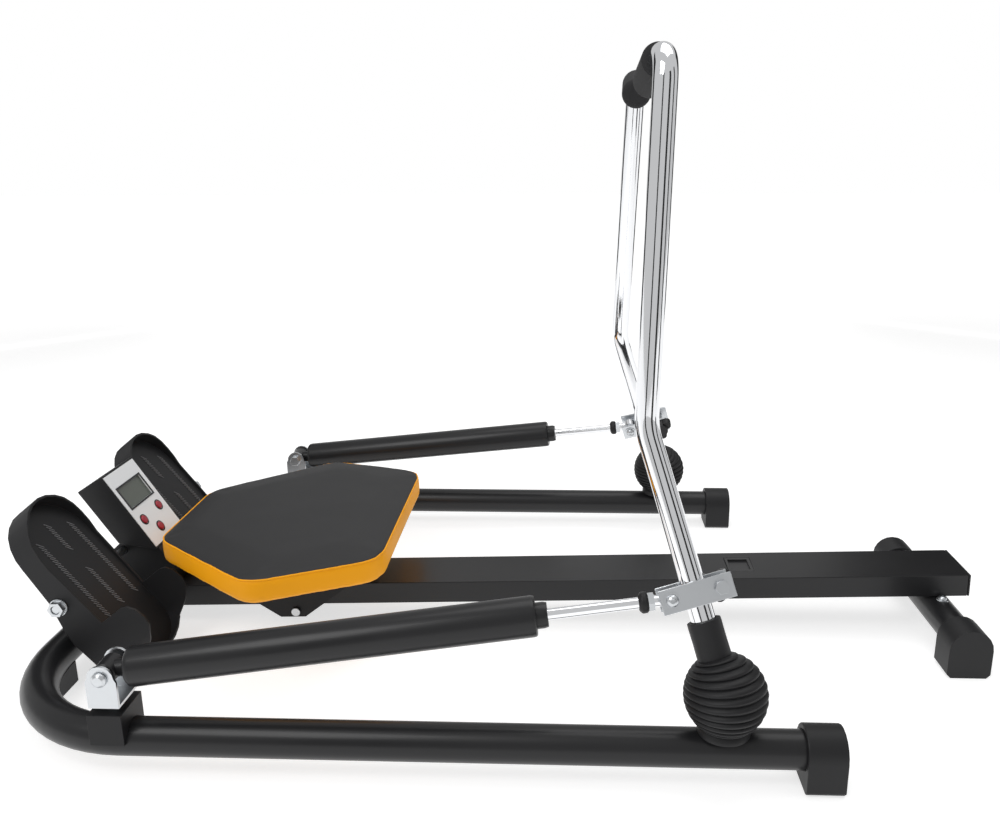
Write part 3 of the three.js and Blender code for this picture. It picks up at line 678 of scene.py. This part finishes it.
# ---------------------------------------------------------------------------- base
@dataclass
class Base:
    """The U-shaped base tube, the rail, the crossbar and the feet."""

    tube: float = 20 * MM
    height: float = 37.5 * MM
    track: float = 339 * MM
    bend: float = 155 * MM
    front: float = -551.1 * MM
    rear: float = 345.4 * MM
    sides: int = 64
    stem: tuple[tuple[float, float], ...] = ((0, 0), (15, 0), (15, 4), (9, 5.5), (9, 24), (0, 24))
    stem_sides: int = 32
    ear: Vector = field(default_factory=lambda: mm(14, 4.5, 26))
    ear_at: float = 10.75 * MM
    ear_drop: float = 20 * MM
    ear_round: float = 2 * MM
    bolt: DomeBolt = DomeBolt(5.5)
    bolt_track: float = 48 * MM
    bolt_sink: float = 0.2 * MM

    def build_tube(self) -> None:
        """The bent tube and the forks welded on it."""
        ends = [(self.rear, -1), (self.front, -1), (self.front, 1), (self.rear, 1)]
        corners = [Vector((x, sign * self.track, self.height)) for x, sign in ends]
        stations = bent(corners, [self.bend, self.bend])
        tube = Bench.pipe("base_tube_skin", stations, self.tube, self.sides)
        dress(tube, PAINT, "frame", "base_tube")
        for side in Side:
            self.build_fork(side)

    def build_fork(self, side: Side) -> None:
        """The stem and the two ears that hold an arm's joint."""
        centre = pivot(f"arm_swing_{side.word}")
        seat = Vector((centre.x, centre.y, self.height + self.tube - MM))
        up = Vector((0, 0, 1))
        stem = Bench.turned(f"joint_stem_{side.word}", seat, up, self.stem, self.stem_sides)
        dress(stem, FLAT_PAINT, "frame")
        for sign, word in ((-1, "inner"), (1, "outer")):
            low = centre + Vector((-self.ear.x / 2, sign * self.ear_at - self.ear.y / 2, -self.ear_drop))
            ear = Bench.block(f"joint_ear_{side.word}_{word}", low, low + self.ear, self.ear_round)
            dress(ear, FLAT_PAINT, "frame")

    def build_feet(self) -> None:
        """Rubber caps and pads, smoothed from the CAD."""
        for side in Side:
            skin(f"rear_foot_cap_{side.word}", RUBBER, "frame", 2.2 * MM)
            skin(f"crossbar_cap_{side.word}", RUBBER, "frame", 2.2 * MM)
            skin(f"front_foot_{side.word}", RUBBER, "frame", 1.5 * MM)

    def build_crossbar(self) -> None:
        """The rear crossbar and the bolts that hold it."""
        low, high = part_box("rear_crossbar")
        middle = (low + high) / 2
        stations = [Vector((middle.x, y, middle.z)) for y in (low.y, 0.0, high.y)]
        bar = Bench.pipe("rear_crossbar_skin", stations, self.tube, self.sides)
        dress(bar, PAINT, "frame", "rear_crossbar")
        for side in Side:
            seat = Vector((middle.x, side.value * self.bolt_track, high.z - self.bolt_sink))
            self.bolt.place(f"crossbar_bolt_{side.word}", seat, Vector((0, 0, 1)), "frame")

    def build_rail(self) -> None:
        """The box rail, its end cap and the stop latch."""
        skin("rail", PAINT, "frame", 1.4 * MM)
        skin("rail_end_cap", PLASTIC, "frame", 1.0 * MM)
        skin("rail_latch", BEZEL, "frame", 0.6 * MM)

    def build(self) -> None:
        """Builds the base."""
        self.build_tube()
        self.build_feet()
        self.build_crossbar()
        self.build_rail()
        skin("front_post", FLAT_PAINT, "frame", 1.5 * MM)


# ---------------------------------------------------------------------------- foot rests
@dataclass
class FootRest:
    """One foot plate with its anti-slip ribs."""

    side: Side
    tilt: float = math.radians(51.5)
    rib: Vector = field(default_factory=lambda: mm(0.9, 11.0, 1.2))
    slant: float = math.radians(38)
    pitch: float = 4.6 * MM
    sink: float = 0.3 * MM
    rib_round: float = 0.25 * MM
    hub_along: float = 12.2 * MM
    hub_out: float = 21.7 * MM
    rows: tuple[tuple[str, float, float, float], ...] = (
        ("left", -34, -58, 62), ("right", 34, -58, 62), ("heel", 0, -56, 4), ("toe", 0, 34, 78),
    )

    @property
    def body(self) -> str:
        """The body that it rides on."""
        return f"foot_rest_{self.side.word}"

    def local(self) -> Matrix:
        """The tread's frame: X across, Y to the toe and Z out to the foot."""
        toe = Vector((-math.cos(self.tilt), 0, math.sin(self.tilt)))
        out = Vector((math.sin(self.tilt), 0, math.cos(self.tilt)))
        across = toe.cross(out)
        hub = pivot(f"foot_tilt_{self.side.word}")
        return basis(hub + toe * self.hub_along + out * self.hub_out, across, toe, out)

    def build_row(self, name: str, across: float, start: float, end: float) -> None:
        """One row of ribs, from one block repeated by an array.

        Args:
            name: The piece's name.
            across: Its place across the tread, in millimetres.
            start: Its heel end, in millimetres.
            end: Its toe end, in millimetres.
        """
        half = Vector((self.rib.x / 2, self.rib.y / 2, self.sink))
        row = Bench.block(name, -half, self.rib - half, self.rib_round)
        row.data.transform(Matrix.Translation(mm(across, start, 0)) @ Matrix.Rotation(self.slant, 4, "Z"))
        count = int((end - start) * MM / self.pitch)
        Bench.apply(row, "ARRAY", count=count, use_relative_offset=False, use_constant_offset=True,
                    constant_offset_displace=(0, self.pitch, 0))
        row.data.transform(self.local())
        # The ribs take the light grey painted highlight instead of the tread's black.
        dress(row, RIB_HIGHLIGHT, self.body)

    def build(self) -> None:
        """Builds the foot rest."""
        word = self.side.word
        skin(f"foot_plate_{word}", TREAD, self.body, 1.2 * MM)
        for row, across, start, end in self.rows:
            self.build_row(f"tread_ribs_{row}_{word}", across, start, end)


# ---------------------------------------------------------------------------- monitor
@dataclass
class Monitor:
    """The monitor on its post, whose face is drawn from the middle of its top edge."""

    top: Vector = field(default_factory=lambda: mm(-547.2, 0, 215.2))
    bottom: Vector = field(default_factory=lambda: mm(-483.2, 0, 113.6))
    window: tuple[float, float, float, float] = (-32, 30, -57, -26)
    bezel: float = 2.6
    bezel_low: float = -0.4
    bezel_high: float = 0.6
    bezel_round: float = 0.2 * MM
    keys: tuple[tuple[float, float], ...] = ((-25, -79), (23, -76), (-4, -100))
    key: float = 6.0
    ring: tuple[tuple[float, float], ...] = (
        (0.5, -0.3), (2.0, -0.3), (2.0, 0.4), (0.5, 0.5), (0.5, -0.3),
    )
    ring_sides: int = 32

    def local(self) -> Matrix:
        """The face's frame: X to the right, Y up the face and Z out of it."""
        up = (self.top - self.bottom).normalized()
        across = Vector((0, 1, 0))
        return basis(self.top, across, up, across.cross(up))

    def build_bezel(self) -> None:
        """The dark frame round the screen, as four bars joined in one piece."""
        left, right, low, high = self.window
        wide = self.bezel
        bars = [
            (left - wide, low - wide, right + wide, low), (left - wide, high, right + wide, high + wide),
            (left - wide, low, left, high), (right, low, right + wide, high),
        ]
        blocks = []
        for number, (x0, y0, x1, y1) in enumerate(bars):
            corners = mm(x0, y0, self.bezel_low), mm(x1, y1, self.bezel_high)
            blocks.append(Bench.block(f"bezel_bar_{number}", *corners, self.bezel_round))
        Bench.clear()
        for block in blocks:
            block.select_set(True)
        bpy.context.view_layer.objects.active = blocks[0]
        bpy.ops.object.join()
        bezel = bpy.context.object
        bezel.name = "screen_bezel"
        bezel.data.transform(self.local())
        dress(bezel, BEZEL, "frame")

    def build_key_rings(self) -> None:
        """A dark ring round each key."""
        profile = [(self.key + radius, height) for radius, height in self.ring]
        out = Vector((0, 0, 1))
        for number, (x, y) in enumerate(self.keys):
            name = f"key_ring_{number}"
            ring = Bench.turned(name, mm(x, y, 0), out, profile, self.ring_sides, False)
            ring.data.transform(self.local())
            dress(ring, BEZEL, "frame")

    def build(self) -> None:
        """Builds the monitor, its keys and what is inside."""
        skin("monitor_housing", PLASTIC, "frame", 1.0 * MM, False)
        skin("monitor_face", SILVER, "frame", 0.3 * MM, False)
        skin("monitor_screen", SCREEN, "frame", 0.3 * MM)
        self.build_bezel()
        self.build_key_rings()
        skin("monitor_board", BOARD, "frame")
        skin("monitor_battery", CELL, "frame", 0.6 * MM)
        for key in ("left", "right", "centre"):
            skin(f"monitor_button_{key}", RED, f"button_{key}", 0.4 * MM)


# ---------------------------------------------------------------------------- seat
@dataclass
class Seat:
    """The sliding seat: a padded cushion on a board, and the carriage that rolls on the rail."""

    voxel: float = 6 * MM
    band_slope: float = 0.7
    swell: float = 4 * MM
    shrink: float = 1 * MM
    seam_height: float = 13 * MM
    welt: float = 1.3 * MM
    frames: int = 20
    quality: int = 3
    pressure: float = 4.0
    fill: float = 0.9

    def padded_body(self) -> bpy.types.Object:
        """The cushion, blown up a little from the CAD solid by a cloth simulation."""
        piece = Bench.from_cad("seat_cushion", "seat_cushion_pad")
        Bench.apply(piece, "DISPLACE", strength=-self.shrink, mid_level=0.0)
        Bench.apply(piece, "REMESH", mode="VOXEL", voxel_size=self.voxel)
        rest = [vertex.co.copy() for vertex in piece.data.vertices]
        self.inflate(piece, rest)
        Bench.apply(piece, "SMOOTH", factor=0.5, iterations=2)
        Bench.apply(piece, "SUBSURF", levels=1, render_levels=1)
        bpy.ops.object.shade_smooth()
        return piece

    def inflate(self, piece: bpy.types.Object, rest: Sequence[Vector]) -> None:
        """Runs the cloth and caps how far each point moves.

        Args:
            piece: The remeshed cushion.
            rest: Where its points were.
        """
        band = piece.vertex_groups.new(name="band")
        sides = [vertex.index for vertex in piece.data.vertices
                 if abs(vertex.normal.dot(self.up())) < self.band_slope]
        band.add(sides, 1.0, "REPLACE")
        Bench.only(piece)
        cloth = piece.modifiers.new("cloth", "CLOTH")
        cloth.settings.vertex_group_mass = band.name
        cloth.settings.quality = self.quality
        cloth.settings.use_pressure = True
        cloth.settings.uniform_pressure_force = self.pressure
        cloth.settings.effector_weights.gravity = 0.0
        for number in range(1, self.frames + 1):
            bpy.context.scene.frame_set(number)
        bpy.ops.object.modifier_apply(modifier=cloth.name)
        bpy.context.scene.frame_set(1)
        for vertex, start in zip(piece.data.vertices, rest):
            move = vertex.co - start
            if move.length > self.swell:
                vertex.co = start + move * (self.swell / move.length)

    def up(self) -> Vector:
        """The direction square to the rail's top."""
        return axis("seat_slide").cross(Vector((0, 1, 0)))

    def seam(self) -> Vector:
        """A point of the plane where the top panel meets the band."""
        return sum(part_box("seat_cushion"), Vector()) / 2 + self.up() * self.seam_height

    def build_welt(self, pad: bpy.types.Object) -> None:
        """The piping along the seam, swept along the pad's own outline there."""
        Bench.clear()
        welt = bpy.data.objects.new("seat_welt", pad.data.copy())
        bpy.context.scene.collection.objects.link(welt)
        Bench.edit(welt, lambda: bpy.ops.mesh.bisect(
            plane_co=self.seam(), plane_no=self.up(), clear_inner=True, clear_outer=True,
        ))
        Bench.only(welt)
        bpy.ops.object.convert(target="CURVE")
        welt = bpy.context.object
        welt.data.bevel_depth = self.welt
        welt.data.bevel_resolution = 2
        bpy.ops.object.convert(target="MESH")
        welt = bpy.context.object
        bpy.ops.object.shade_smooth()
        dress(welt, YELLOW, "seat")

    def build(self) -> None:
        """Builds the seat."""
        pad = self.padded_body()
        self.build_welt(pad)
        Bench.edit(pad, lambda: bpy.ops.mesh.bisect(plane_co=self.seam(), plane_no=self.up()))
        dress(pad, YELLOW, "seat")
        pad.data.materials.append(CHARCOAL.material())
        seam, up = self.seam(), self.up()
        for face in pad.data.polygons:
            face.material_index = int((face.center - seam).dot(up) > 0)
        skin("seat_board", WOOD, "seat", 1.0 * MM)
        skin("seat_carriage", FLAT_PAINT, "seat", 0.8 * MM)
        for place in ("front", "rear", "lower"):
            skin(f"seat_roller_{place}", PLASTIC, f"roller_{place}", 1.5 * MM)
            skin(f"seat_axle_{place}", ZINC, "seat", 0.6 * MM)


# ---------------------------------------------------------------------------- rowing arms
@dataclass
class Arm:
    """One rowing arm with its grip, clamp and ball joint."""

    side: Side
    tube: float = 12.7 * MM
    knee: Vector = field(default_factory=lambda: mm(149.8, 242.2, 349.5))
    top: Vector = field(default_factory=lambda: mm(162.8, 201, 728))
    grip_end: Vector = field(default_factory=lambda: mm(155.4, 92, 699))
    knee_radius: float = 70 * MM
    top_radius: float = 30 * MM
    sides: int = 64
    start_at: float = 20 * MM
    end_back: float = 4 * MM
    grip: float = 19.0
    grip_round: float = 9.0
    grip_mouth: tuple[tuple[float, float], ...] = ((13.0, 42), (16.5, 42), (19, 43.5))
    ribs: int = 12
    steps_per_rib: int = 8
    ball: float = 42.5 * MM
    ball_angles: tuple[float, float] = (-52, 64)
    lean_power: float = 1.5
    fold_depth: float = 3.4 * MM
    boot_foot: float = 27 * MM
    boot_step: float = 4 * MM
    boot_sides: int = 72
    boot_crease: float = 60.0
    neck: tuple[tuple[float, float], ...] = (
        (17.2, 34), (17.6, 40), (17.4, 56), (17.6, 72), (17.4, 75.5), (16.0, 76), (13.0, 76),
    )
    neck_sides: int = 48
    neck_crease: float = 40.0
    eye_back: float = 51 * MM
    eye_out: float = 15.75 * MM
    eye_bolt: DomeBolt = DomeBolt(6.4)
    bolt_head: float = 0.0

    @property
    def body(self) -> str:
        """The body that the arm rides on."""
        return f"arm_{self.side.word}"

    @property
    def centre(self) -> Vector:
        """The ball joint's centre."""
        return pivot(f"arm_swing_{self.side.word}")

    def at(self, point: Vector) -> Vector:
        """A point drawn for the right side, on this side."""
        return mirrored(point, self.side)

    def lower_way(self) -> Vector:
        """The direction of the arm's lower run, up from the ball."""
        return (self.at(self.knee) - self.centre).normalized()

    def build_tube(self) -> None:
        """The chromed tube and its foam grip."""
        word = self.side.word
        start = self.centre + self.lower_way() * self.start_at
        top, end = self.at(self.top), self.at(self.grip_end)
        inward = (end - top).normalized()
        corners = [start, self.at(self.knee), top, end - inward * self.end_back]
        stations = bent(corners, [self.knee_radius, self.top_radius], 5)
        tube = Bench.pipe(f"arm_{word}_skin", stations, self.tube, self.sides)
        dress(tube, CHROME, self.body, f"arm_{word}")
        length = (end - top).length / MM
        core, shoulder = self.grip - self.grip_round, length - self.grip_round
        profile = [*self.grip_mouth, (self.grip, shoulder)]
        for degrees in range(15, 91, 15):
            turn = math.radians(degrees)
            radius = core + self.grip_round * math.cos(turn)
            profile.append((radius, shoulder + self.grip_round * math.sin(turn)))
        profile.append((0, length))
        grip = Bench.turned(f"grip_{word}_skin", top, inward, profile)
        dress(grip, FOAM, self.body, f"grip_{word}")

    def boot_rings(self) -> list[Ring]:
        """The bellows, whose folds lean over from the tube below to the arm above."""
        up = Vector((0, 0, 1))
        way = self.lower_way()
        low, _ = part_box(f"ball_boot_{self.side.word}")
        foot = Vector((self.centre.x, self.centre.y, low.z))
        rings = [Ring(foot, up, self.boot_foot), Ring(foot + up * self.boot_step, up, self.boot_foot)]
        first, last = (math.radians(degrees) for degrees in self.ball_angles)
        steps = self.ribs * self.steps_per_rib
        for index in range(steps + 1):
            part = index / steps
            angle = first + (last - first) * part
            lean = up.lerp(way, part ** self.lean_power).normalized()
            fold = 0.5 - 0.5 * math.cos(math.tau * self.ribs * part)
            radius = self.ball * math.cos(angle) - (1 - math.sqrt(fold)) * self.fold_depth
            centre = self.centre + lean * (self.ball * math.sin(angle))
            rings.append(Ring(centre, lean, radius))
        return rings

    def neck_rings(self) -> list[Ring]:
        """The collar that grips the arm above the bellows."""
        way = self.lower_way()
        return [Ring(self.centre + way * (h * MM), way, r * MM) for r, h in self.neck]

    def build_boot(self) -> None:
        """The ball boot's folds on the base, its collar on the arm and the cross inside it."""
        word = self.side.word
        name, rings = f"ball_boot_{word}_folds", self.boot_rings()
        boot = Bench.loft(name, rings, self.boot_sides, False, self.boot_crease)
        dress(boot, RUBBER, "frame", f"ball_boot_{word}")
        name, rings = f"ball_boot_{word}_neck", self.neck_rings()
        neck = Bench.loft(name, rings, self.neck_sides, False, self.neck_crease)
        dress(neck, RUBBER, self.body)
        skin(f"joint_cross_{word}", ZINC, f"joint_{word}", 0.6 * MM)

    def build_clamp(self) -> None:
        """Two zinc straps, their dome bolts and the wing knob."""
        word = self.side.word
        bolt = pivot(f"knob_turn_{word}")
        outward = axis(f"knob_turn_{word}")
        way = self.lower_way()
        rearward = outward.cross(way).normalized()
        if rearward.x < 0:
            rearward = -rearward
        for face in ("inner", "outer"):
            skin(f"clamp_plate_{face}_{word}", ZINC, self.body, 0.5 * MM)
        eye = bolt - rearward * self.eye_back
        for name, sign in (("eye_bolt", 1), ("eye_nut", -1)):
            seat = eye + outward * (sign * self.eye_out)
            self.eye_bolt.place(f"{name}_{word}", seat, outward * sign, self.body)
        knob = skin(f"clamp_knob_{word}", PLASTIC, f"knob_{word}", 1.2 * MM)
        knob.data.materials.append(ZINC.material())
        for face in knob.data.polygons:
            face.material_index = int((face.center - bolt).dot(outward) > self.bolt_head)

    def build(self) -> None:
        """Builds the arm."""
        self.build_tube()
        self.build_boot()
        self.build_clamp()


@dataclass
class Damper:
    """One hydraulic cylinder, its clevis and its rod."""

    side: Side
    shell: tuple[tuple[float, float], ...] = (
        (0, 21), (16, 21), (19, 22), (20.6, 24), (21, 27), (21, 437.5), (20.4, 440.5), (19, 441.5),
        (13.4, 441.5), (13.4, 449.5), (12.4, 453.5), (6.2, 453.5),
    )
    shell_sides: int = 64
    lug: tuple[tuple[float, float], ...] = ((0, 4), (9, 4), (9, 22), (0, 22))
    lug_sides: int = 32
    eye: tuple[tuple[float, float], ...] = (
        (5.2, 0), (11, 0), (12, 1), (12, 24), (11, 25), (5.2, 25),
    )
    eye_half: float = 12.5 * MM
    eye_sides: int = 40
    nut: tuple[tuple[float, float], ...] = ((6, 556.5), (9.5, 556.5), (9.5, 562.5), (6, 562.5))
    nut_sides: int = 6

    def build(self) -> None:
        """Builds the damper."""
        word = self.side.word
        cylinder = f"cylinder_{word}"
        foot = pivot(f"cylinder_pitch_{word}")
        way = axis(f"rod_slide_{word}")
        across = Vector((0, 1, 0))
        shell = Bench.turned(f"{cylinder}_shell", foot, way, self.shell, self.shell_sides)
        dress(shell, PAINT, cylinder, cylinder)
        lug = Bench.turned(f"{cylinder}_lug", foot, way, self.lug, self.lug_sides)
        dress(lug, PAINT, cylinder)
        start = foot - across * self.eye_half
        dress(Bench.turned(f"{cylinder}_eye", start, across, self.eye, self.eye_sides), PAINT, cylinder)
        skin(f"piston_rod_{word}", CHROME, f"rod_{word}")
        skin(f"rod_buffer_{word}", RUBBER, f"rod_{word}", 1.0 * MM)
        nut = Bench.turned(f"rod_lock_nut_{word}", foot, way, self.nut, self.nut_sides)
        dress(nut, ZINC, f"rod_{word}")
        skin(f"cylinder_mount_{word}", FLAT_PAINT, "frame", 1.5 * MM)
        skin(f"clevis_{word}", ZINC, f"clevis_{word}", 0.8 * MM)
        skin(f"pivot_pin_{word}", ZINC, f"clevis_{word}", 0.6 * MM)


# ---------------------------------------------------------------------------- picture
@dataclass
class Studio:
    """Floor, light and camera."""

    position: Vector = field(default_factory=lambda: mm(65.4, -1140.2, 620.2))
    yaw: float = math.radians(-2.298)
    pitch: float = math.radians(14.978)
    roll: float = math.radians(-0.258)
    lens: float = 32.335
    sensor: float = 36.0
    shift: tuple[float, float] = (-0.0304, -0.018)
    near: float = 0.05
    floor_size: float = 30.0
    floor_glow: float = 0.66
    sky: float = 0.6
    cards: tuple[tuple[float, float], ...] = (
        (-106, 0.45), (-50, 0.7), (-12, 0.5), (48, 1.5), (138, 1.3),
    )
    card_distance: float = 2.6
    card_height: float = 2.1
    card_middle: float = 1.1
    card_thickness: float = 0.01
    lamps: tuple[tuple[str, tuple[float, float, float], float, float], ...] = (
        ("key", (-1.2, -1.6, 2.4), 1.4, 26), ("top", (0.4, 0.5, 2.6), 1.8, 18),
    )
    aim: Vector = field(default_factory=lambda: Vector((0, 0, 0.2)))

    def camera(self) -> None:
        """The camera, whose frame is shifted a little off its axis."""
        data = bpy.data.cameras.new("camera")
        data.lens = self.lens
        data.sensor_width = self.sensor
        data.shift_x, data.shift_y = self.shift
        data.clip_start = self.near
        camera = bpy.data.objects.new("camera", data)
        bpy.context.scene.collection.objects.link(camera)
        forward = Vector((
            math.sin(self.yaw) * math.cos(self.pitch), math.cos(self.yaw) * math.cos(self.pitch),
            -math.sin(self.pitch),
        ))
        turn = forward.to_track_quat("-Z", "Y") @ Quaternion((0, 0, 1), self.roll)
        camera.matrix_world = Matrix.Translation(self.position) @ turn.to_matrix().to_4x4()
        bpy.context.scene.camera = camera

    def floor(self) -> None:
        """A plain pale floor."""
        Bench.clear()
        bpy.ops.mesh.primitive_plane_add(size=self.floor_size, location=(0, 0, 0))
        plane = Bench.settle("studio_floor")
        graph = Graph("studio_floor_paint")
        plane.data.materials.append(graph.finish(
            Base_Color=graph.mix(graph.noise(2.0), (0.58, 0.58, 0.58), (0.62, 0.62, 0.62)),
            Roughness=0.7,
            Emission_Color=(1.0, 1.0, 1.0, 1.0),
            Emission_Strength=self.floor_glow,
        ))

    def light(self, name: str, place: Vector, size: float, power: float) -> None:
        """A soft square light that looks at the machine.

        Args:
            name: The light's name.
            place: Where it hangs.
            size: Its side, in metres.
            power: Its power, in watts.
        """
        data = bpy.data.lights.new(name, "AREA")
        data.size = size
        data.energy = power
        lamp = bpy.data.objects.new(name, data)
        bpy.context.scene.collection.objects.link(lamp)
        lamp.location = place
        lamp.rotation_euler = (self.aim - place).to_track_quat("-Z", "Y").to_euler()

    def world(self) -> None:
        """An even pale sky."""
        world = bpy.data.worlds.new("studio_world")
        world.use_nodes = True
        background = world.node_tree.nodes["Background"]
        background.inputs[0].default_value = (1.0, 1.0, 1.0, 1.0)
        seen = world.node_tree.nodes.new("ShaderNodeLightPath")
        strength = world.node_tree.nodes.new("ShaderNodeMapRange")
        strength.inputs["To Min"].default_value = self.sky
        world.node_tree.links.new(seen.outputs["Is Camera Ray"], strength.inputs["Value"])
        world.node_tree.links.new(strength.outputs["Result"], background.inputs[1])
        bpy.context.scene.world = world

    def card(self, name: str, bearing: float, width: float) -> None:
        """A tall dark card that only shows in polished metal.

        Args:
            name: The card's name.
            bearing: Its direction from the machine, in degrees from +X.
            width: Its width, in metres.
        """
        Bench.clear()
        turn = math.radians(bearing)
        place = Vector((math.cos(turn), math.sin(turn), 0)) * self.card_distance
        place += Vector((0, 0, self.card_middle))
        bpy.ops.mesh.primitive_cube_add(size=1, location=place, rotation=(0, 0, turn))
        bpy.context.object.scale = (self.card_thickness, width, self.card_height)
        card = Bench.settle(name)
        card.data.materials.append(CARD.material())
        card.visible_camera = False
        card.visible_shadow = False

    def build(self) -> None:
        """Sets the picture up."""
        self.camera()
        self.floor()
        self.world()
        for number, (bearing, width) in enumerate(self.cards):
            self.card(f"studio_card_{number}", bearing, width)
        for name, place, size, power in self.lamps:
            self.light(name, Vector(place), size, power)
        bpy.context.scene.view_settings.view_transform = "Standard"


def dress_fittings() -> None:
    """The foot axle and its nuts."""
    skin("foot_axle", ZINC, "frame", 0.6 * MM)
    for side in Side:
        skin(f"axle_nut_{side.word}", ZINC, "frame", 0.5 * MM)


def main() -> None:
    """Builds the machine and the picture."""
    logging.basicConfig(level=logging.INFO)
    Base().build()
    dress_fittings()
    Monitor().build()
    Seat().build()
    for side in Side:
        FootRest(side).build()
        Arm(side).build()
        Damper(side).build()
    Studio().build()


if __name__ == "__main__":
    main()
